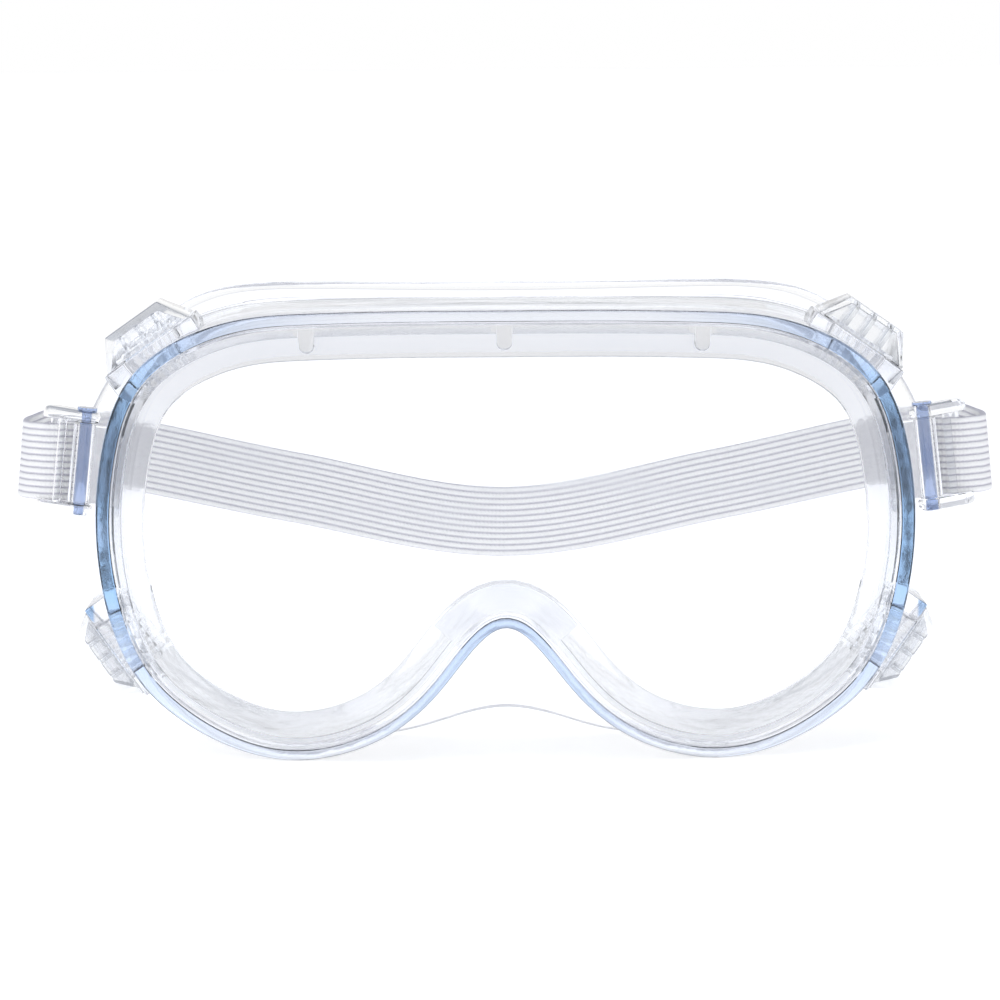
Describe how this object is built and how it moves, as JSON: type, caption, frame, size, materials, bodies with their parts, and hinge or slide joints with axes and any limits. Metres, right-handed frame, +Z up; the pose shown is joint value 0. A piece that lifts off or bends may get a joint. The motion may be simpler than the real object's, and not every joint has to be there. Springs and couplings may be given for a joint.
{
  "type": "safety goggles",
  "caption": "Clear indirect-vent splash goggles: soft mask, wide curved lens, faceted corner vents, swinging strap clips and a ribbed elastic strap.",
  "frame": {"origin": "centre of the base of the bounding box, on the surface that the goggles stand on", "axes": "+Z up, the lens faces -Y, +X to the right as seen from the front"},
  "size_m": [0.1898, 0.1456, 0.0875],
  "materials": {
    "clear_soft_pvc": "soft clear PVC with a faint blue tint, glossy",
    "clear_lens": "clear polished polycarbonate sheet",
    "clear_hard_plastic": "clear moulded hard plastic",
    "strap_webbing": "white ribbed knitted elastic"
  },
  "bodies": {
    "goggles": {"frame_body": "clear_soft_pvc", "lens": "clear_lens", "strap_band": "strap_webbing", "vent_cap_upper_left": "clear_hard_plastic", "vent_cap_upper_right": "clear_hard_plastic", "vent_cap_lower_left": "clear_hard_plastic", "vent_cap_lower_right": "clear_hard_plastic", "vent_base_upper_left": "clear_hard_plastic", "vent_base_upper_right": "clear_hard_plastic", "vent_base_lower_left": "clear_hard_plastic", "vent_base_lower_right": "clear_hard_plastic"},
    "left_clip": {"left_clip": "clear_hard_plastic", "left_clip_pin": "clear_hard_plastic", "strap_left_end": "strap_webbing"},
    "right_clip": {"right_clip": "clear_hard_plastic", "right_clip_pin": "clear_hard_plastic", "strap_right_end": "strap_webbing"}
  },
  "joints": [
    {"name": "left_clip_swing", "type": "hinge", "parent": "goggles", "child": "left_clip", "pos_m": [-0.0812, -0.03485, 0.053], "axis": [-0.1045, 0, -0.9945], "range_deg": [-30, 45]},
    {"name": "right_clip_swing", "type": "hinge", "parent": "goggles", "child": "right_clip", "pos_m": [0.0812, -0.03485, 0.053], "axis": [-0.1045, 0, 0.9945], "range_deg": [-30, 45]}
  ]
}
